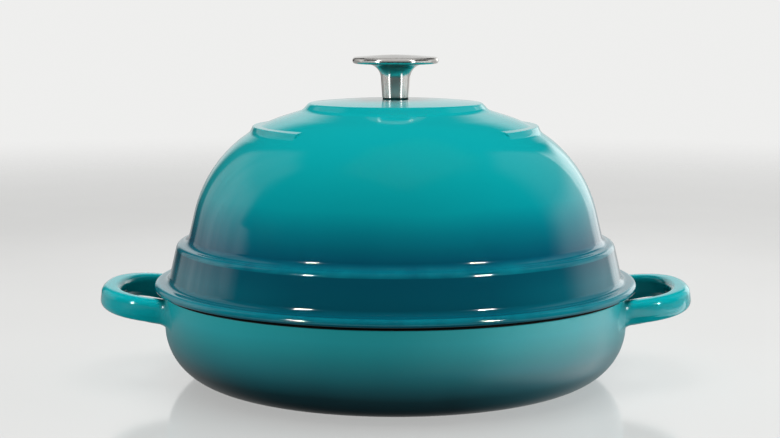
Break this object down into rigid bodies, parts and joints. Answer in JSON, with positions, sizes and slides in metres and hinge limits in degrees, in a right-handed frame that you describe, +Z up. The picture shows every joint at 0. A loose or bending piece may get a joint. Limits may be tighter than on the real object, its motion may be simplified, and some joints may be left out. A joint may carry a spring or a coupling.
{
  "type": "dome dutch oven",
  "caption": "Round enamelled cast iron bread oven: a shallow pan with two loop handles, a tall lift-off dome lid and a stainless knob, for baking and cooking.",
  "frame": {"origin": "on the pot's axis, on the surface that the pan stands on", "axes": "+Z up along the pot's axis, X through the two handles, -Y towards the front"},
  "size_m": [0.334, 0.2716, 0.1822],
  "materials": {
    "pan_enamel": "gloss teal enamel on cast iron",
    "lid_enamel": "gloss teal enamel on cast iron, darker towards the flange",
    "gasket_rubber": "matt black",
    "knob_steel": "satin stainless",
    "fastener_steel": "plain stainless"
  },
  "bodies": {
    "pan": {"base_pan": "pan_enamel"},
    "lid": {"dome_lid": "lid_enamel", "knob_gasket": "gasket_rubber", "knob_stem": "knob_steel", "knob_cap": "knob_steel", "knob_insert": "fastener_steel", "flat_washer": "fastener_steel", "lock_washer": "fastener_steel", "knob_screw": "fastener_steel"}
  },
  "joints": [
    {"name": "lid_lift", "type": "slide", "parent": "pan", "child": "lid", "axis": [0, 0, 1], "range_m": [0, 0.15]}
  ]
}
